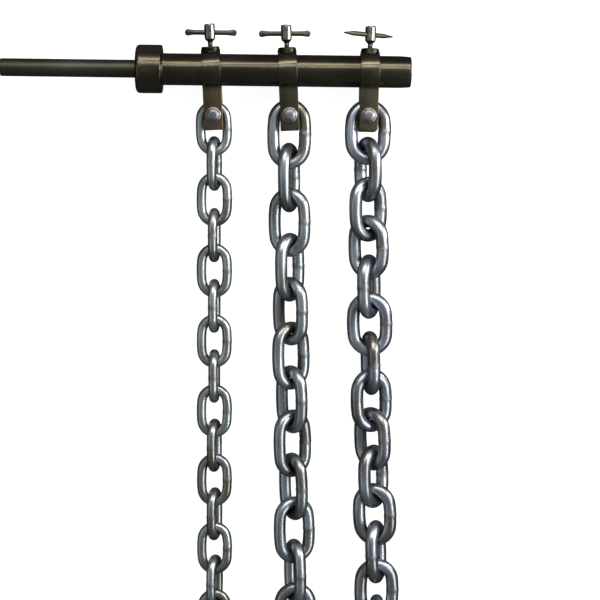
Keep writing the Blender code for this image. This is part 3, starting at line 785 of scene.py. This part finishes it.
def link_places(name, number, clamp_x):
    """Each link's frame: its length along Y, the first one on the clamp's bolt, the next ones crown in crown along -Y."""
    size = CHAINS[name]
    count, d, pairs_from = size["links"], size["d"], PAIRS_FROM[name]
    hub = Matrix.Translation((0, 0, BAR_Z * MM)) @ Matrix.Rotation(TILT, 4, "Y") @ hub_place(number, clamp_x)
    start = hub @ Vector((0, -BOLT_DROP * MM, 0))
    floor_z = size["width"] / 2 - 0.25
    solo = [i for i in range(count) if i < pairs_from or (count - pairs_from) % 2 and i == count - 1]

    def fused(i):
        return i >= pairs_from and (i - pairs_from) % 2 == 0 and i + 1 < count and i not in solo

    def play(i):
        if i + 1 == count:
            return 0.0
        apart = abs(twist_of(name, i + 1) - twist_of(name, i)) % 180
        square = min(apart, 180 - apart)
        slack = size["slack"] + 0.006 * size["d"] * max(0.0, 84.0 - square) if not fused(i) else 0.0
        return slack + (FOLD_PLAY if i + 1 in FOLDS[name] else 0.0)

    top = -BOLT_DROP + BOLT_D / 2 + d / 2 + 0.1
    centre = top - (size["length"] - d) / 2
    lean = math.asin(size["aside"] / (-BOLT_DROP - centre + (size["length"] - d) / 2))
    hung = Matrix.Rotation(lean - math.radians(CLAMP_SKEW[number - 1]), 4, "Z")
    first = (
        hub
        @ Matrix.Translation((0, -BOLT_DROP * MM, 0))
        @ hung
        @ Matrix.Translation((0, (centre + BOLT_DROP) * MM, 0))
    )
    links = [first]
    seat = first @ Vector((0, (-(size["length"] - d) / 2 + (d + play(0)) / 2) * MM, 0))
    s = (start.y - seat.y) / MM
    first_z = seat.z / MM
    for i in range(1, count):
        step = size["length"] - 2 * d - (play(i - 1) + play(i)) / 2
        side = size["drift"] * min((s + step) / 750.0, 1.0) ** 1.5
        ease = min(max((s + step - 60.0) / 200.0, 0.0), 1.0)
        height = first_z + (floor_z - first_z) * ease * ease * (3 - 2 * ease)
        goal = Vector((start.x + (size["aside"] + side) * MM, start.y - (s + step) * MM, height * MM))
        way = (seat - goal).normalized()
        level = (Vector((0, 0, 1)) - way * way.z).normalized()
        turn = Matrix((way.cross(level), way, level)).transposed().to_4x4()
        middle = seat - way * ((d + play(i - 1)) / -2 + (size["length"] - d) / 2) * MM
        links.append(Matrix.Translation(middle) @ turn @ Matrix.Rotation(math.radians(twist_of(name, i)), 4, "Y"))
        seat = seat - way * step * MM
        s += step
    return [ORIGIN @ place for place in links]


def quarter(size):
    """A quarter of a link's middle line from the middle of a leg to the middle of a crown: (x, y, direction, distance).

    The radius is long on the leg, which bulges a little, and shortest at the shoulder and the crown.
    """
    half, bend = (size["length"] - size["d"]) / 2, (size["width"] - size["d"]) / 2
    turn = np.linspace(0, math.pi / 2, 721)
    tight = 1 - 0.15 * np.cos(4 * turn)
    easy = np.exp(-((turn / 0.105) ** 2))
    gap = turn[1] - turn[0]

    def total(values):
        return float(((values[1:] + values[:-1]) / 2).sum() * gap)

    system = np.array(
        [[total(tight * np.cos(turn)), total(easy * np.cos(turn))], [total(tight * np.sin(turn)), total(easy * np.sin(turn))]]
    )
    short, long = np.linalg.solve(system, np.array([half, bend]))
    radius = short * tight + long * easy

    def running(values):
        return np.concatenate([[0.0], np.cumsum((values[1:] + values[:-1]) / 2 * gap)])

    return bend - running(radius * np.sin(turn)), running(radius * np.cos(turn)), turn, running(radius)


SIDES = 28


def link_mesh(name, size, seed, weld_right):
    """One welded link: round wire on a bulged oval line, a trimmed weld in the middle of one leg and rubbed crowns."""
    rng = random.Random(seed)
    xs, ys, turns, far = quarter(size)
    part = far[-1]
    whole = 4 * part
    ends = np.array([-9.0, -7.0, -5.2, -3.8, -2.8, -2.1, -1.5, -1.0, -0.55, -0.2])
    stations = np.concatenate([[0.0], -ends[::-1], np.linspace(11.0, whole - 11.0, 98), whole + ends])
    r = size["d"] / 2
    phase = [rng.uniform(0, 2 * math.pi) for _ in range(6)]
    belly = rng.uniform(-0.22, 0.22)
    skew = rng.uniform(-0.25, 0.25)
    step_side = rng.uniform(-0.32, 0.32)
    rings, rub, weld = [], [], []
    for s in stations:
        leg, t = divmod(s, part)
        leg = int(leg) % 4
        u = t if leg % 2 == 0 else part - t
        x, y, a = np.interp(u, far, xs), np.interp(u, far, ys), np.interp(u, far, turns)
        # the four quarters run counter-clockwise from the middle of the right leg
        if leg == 0:
            px, py, direction = x, y, math.pi / 2 + a
        elif leg == 1:
            px, py, direction = -x, y, math.pi / 2 + math.pi - a
        elif leg == 2:
            px, py, direction = -x, -y, 3 * math.pi / 2 + a
        else:
            px, py, direction = x, -y, 3 * math.pi / 2 + math.pi - a
        off = s if s < whole / 2 else s - whole  # distance from the weld
        out = (math.sin(direction), -math.cos(direction))
        crown = math.sin(a) ** 4
        shift = step_side * math.tanh(off / 2.2) * math.exp(-((off / 13.0) ** 2))
        px += skew * math.sin(2 * math.pi * s / whole + phase[0]) * 0.6 + out[0] * (belly * math.cos(a) ** 2 + shift)
        py += out[1] * shift
        swell = (
            0.040 * math.exp(-((off / 2.0) ** 2))
            - 0.028 * math.exp(-((off / 0.45) ** 2))
            - 0.018 * math.exp(-(((abs(off) - 6.4) / 2.6) ** 2))
        )
        ring = []
        for j in range(SIDES):
            b = 2 * math.pi * j / SIDES
            q = r * (
                0.998
                + swell
                + 0.004 * math.sin(2 * b + phase[1] + s * 0.02)
                + 0.003 * math.sin(3 * b + phase[2] - s * 0.05)
                + 0.003 * math.sin(s * 0.11 + phase[3])
                - 0.012 * crown * (0.5 + 0.5 * math.cos(2 * b))
            )
            inward = q * math.cos(b)
            if math.cos(b) < 0:  # cos(b) < 0 is the crown's inner side, worn a little flat
                inward *= 1 - 0.02 * crown
            ring.append((px + out[0] * inward, py + out[1] * inward, q * math.sin(b)))
            rub.append(max(0.0, -math.cos(b)) ** 1.5 * crown)
            weld.append(math.exp(-((off / 4.5) ** 2)))
        rings.append(ring)
    offset = 1000.0 * rng.uniform(0, 50)
    distance = list(stations + offset) + [whole + offset]
    mesh = skin(name, rings, closed=True, along=(distance, r))
    for label, values in (("rub", rub), ("weld", weld)):
        layer = mesh.attributes.new(label, "FLOAT", "POINT")
        layer.data.foreach_set("value", np.asarray(values, np.float32))
    if not weld_right:
        mesh.transform(Matrix.Rotation(math.pi, 4, "Y"))
    mesh.shade_smooth()
    return mesh


worst = 0.0
for number, (name, clamp_x) in enumerate(zip(("small", "medium", "large"), CLAMP_X), 1):
    size = CHAINS[name]
    rng = random.Random(100 * number)
    for i, place in enumerate(link_places(name, number, clamp_x)):
        k = i + 1
        node = next(n for n in (f"{name}_link_{k}", f"{name}_links_{k}_{k + 1}", f"{name}_links_{k - 1}_{k}") if n in frame["nodes"])
        label = f"{name}_chain_link_{k:02d}"
        # the welds sit on the right leg, or on the upper one where a link stands on edge
        mesh = link_mesh(label, size, 1000 * number + k, abs(twist_of(name, i)) < 60 or rng.random() < 0.3)
        stand_for(label, mesh, place, node, CHAIN_LOOKS[name])
        low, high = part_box(node)
        for v in mesh.vertices:
            p = place @ v.co
            worst = max(worst, *(low[c] - p[c] for c in range(3)), *(p[c] - high[c] for c in range(3)))
print(f"links stand out of their solids' boxes by at most {worst * 1000:.2f} mm")

# ----------------------------------------------------------- floor and light
floor_mesh = bpy.data.meshes.new("floor")
edit = bmesh.new()
bmesh.ops.create_grid(edit, x_segments=8, y_segments=8, size=9.0, matrix=Matrix.Translation((0, 0, -0.0006)))
edit.to_mesh(floor_mesh)
edit.free()
floor = bpy.data.objects.new("floor", floor_mesh)
bpy.context.scene.collection.objects.link(floor)
paper = bpy.data.materials.new("pale_floor")
paper.use_nodes = True
shader = paper.node_tree.nodes["Principled BSDF"]
shader.inputs["Base Color"].default_value = (0.25, 0.25, 0.25, 1.0)
shader.inputs["Roughness"].default_value = 0.9
shader.inputs["Specular IOR Level"].default_value = 0.1
shader.inputs["Emission Color"].default_value = (1.0, 1.0, 1.0, 1.0)
shader.inputs["Emission Strength"].default_value = 0.94
floor_mesh.materials.append(paper)
floor.visible_glossy = False


def lamp(name, place, target, size, watts, colour=(1.0, 1.0, 1.0)):
    data = bpy.data.lights.new(name, "AREA")
    data.shape = "RECTANGLE"
    data.size, data.size_y = size
    data.energy = watts
    data.color = colour
    obj = bpy.data.objects.new(name, data)
    bpy.context.scene.collection.objects.link(obj)
    obj.location = place
    way = Vector(target) - Vector(place)
    z = -way.normalized()
    x = Vector((0, 1, 0)).cross(z)
    if x.length < 0.2:
        x = Vector((1, 0, 0))
    x.normalize()
    y = z.cross(x)
    obj.rotation_mode = "QUATERNION"
    obj.rotation_quaternion = Matrix((x, y, z)).transposed().to_quaternion()
    return obj


# a tall narrow soft box on the right for the wires, a low one for the screws, two strips beyond the bar, and a weak box on the left
lamp("right_soft_box", (2.05, 0.12, 1.55), (0.15, 0.40, 0.0), (0.50, 2.3), 35.0)
lamp("right_low_box", (1.5, 0.99, 0.62), (0.14, 0.84, 0.05), (1.1, 0.50), 24.0, (1.0, 0.99, 0.95))
lamp("near_strip", (0.25, 1.66, 1.62), (0.15, 0.78, 0.0), (2.2, 0.12), 15.0, (0.97, 1.0, 0.95))
lamp("far_strip", (0.55, 2.40, 1.45), (0.20, 0.78, 0.0), (2.4, 0.16), 34.0, (1.0, 0.88, 0.80))
lamp("left_fill", (-2.2, 0.0, 1.5), (0.1, 0.2, 0.0), (0.5, 2.6), 7.0, (0.94, 0.97, 1.0))

world = bpy.data.worlds.new("soft_room")
bpy.context.scene.world = world
world.use_nodes = True
tree = world.node_tree
for old in list(tree.nodes):
    tree.nodes.remove(old)
path = put(tree, "ShaderNodeLightPath")
ways = put(tree, "ShaderNodeSeparateXYZ", {"Vector": put(tree, "ShaderNodeTexCoord").outputs["Generated"]})
up = put(tree, "ShaderNodeMapRange", {"Value": ways.outputs["Z"], "From Min": -1.0, "From Max": 1.0})
back = put(tree, "ShaderNodeMapRange", {"Value": ways.outputs["Y"], "From Min": -1.0, "From Max": 1.0})
dome = ramp(tree, up.outputs[0], [(0.0, grey(0.09)), (0.5, grey(0.09)), (0.65, grey(0.13)), (0.80, grey(0.24)), (0.94, grey(0.40)), (1.0, grey(0.45))])
fade = ramp(tree, back.outputs[0], [(0.15, grey(0.50)), (0.50, grey(0.96)), (0.70, grey(1.0)), (1.0, grey(0.7))])
lift = ramp(tree, back.outputs[0], [(0.0, grey(0.20)), (0.15, grey(0.11)), (0.36, grey(0.0)), (0.66, grey(0.0)), (0.85, grey(0.10)), (1.0, grey(0.20))])
light = blend(tree, 1.0, blend(tree, 1.0, dome, fade, "MULTIPLY"), lift, "ADD")
light = blend(tree, 1.0, light, (0.95, 0.985, 1.0), "MULTIPLY")
room = put(tree, "ShaderNodeBackground", {"Color": light, "Strength": 0.9})
seen = put(tree, "ShaderNodeBackground", {"Color": (0.95, 0.95, 0.95, 1.0), "Strength": 1.0})
either = put(tree, "ShaderNodeMixShader")
tree.links.new(path.outputs["Is Camera Ray"], either.inputs[0])
tree.links.new(room.outputs[0], either.inputs[1])
tree.links.new(seen.outputs[0], either.inputs[2])
out = put(tree, "ShaderNodeOutputWorld")
tree.links.new(either.outputs[0], out.inputs["Surface"])

bpy.context.scene.view_settings.view_transform = "Standard"

# ---------------------------------------------------------------------- camera
camera_data = bpy.data.cameras.new("camera")
camera_data.sensor_width = 36.0
camera_data.lens = 90.0
camera = bpy.data.objects.new("camera", camera_data)
bpy.context.scene.collection.objects.link(camera)
lean = math.radians(5.846)
axis_z = Vector((0, math.sin(lean), math.cos(lean)))
axis_x = Vector((1, 0, 0))
axis_y = axis_z.cross(axis_x)
look = Matrix((axis_x, axis_y, axis_z)).transposed().to_4x4() @ Matrix.Rotation(math.radians(0.66), 4, "Z")
camera.matrix_world = Matrix.Translation((0.1521, 0.6638, 2.4277)) @ look
bpy.context.scene.camera = camera

# ------------------------------------------------------------------ final update
bpy.context.view_layer.update()
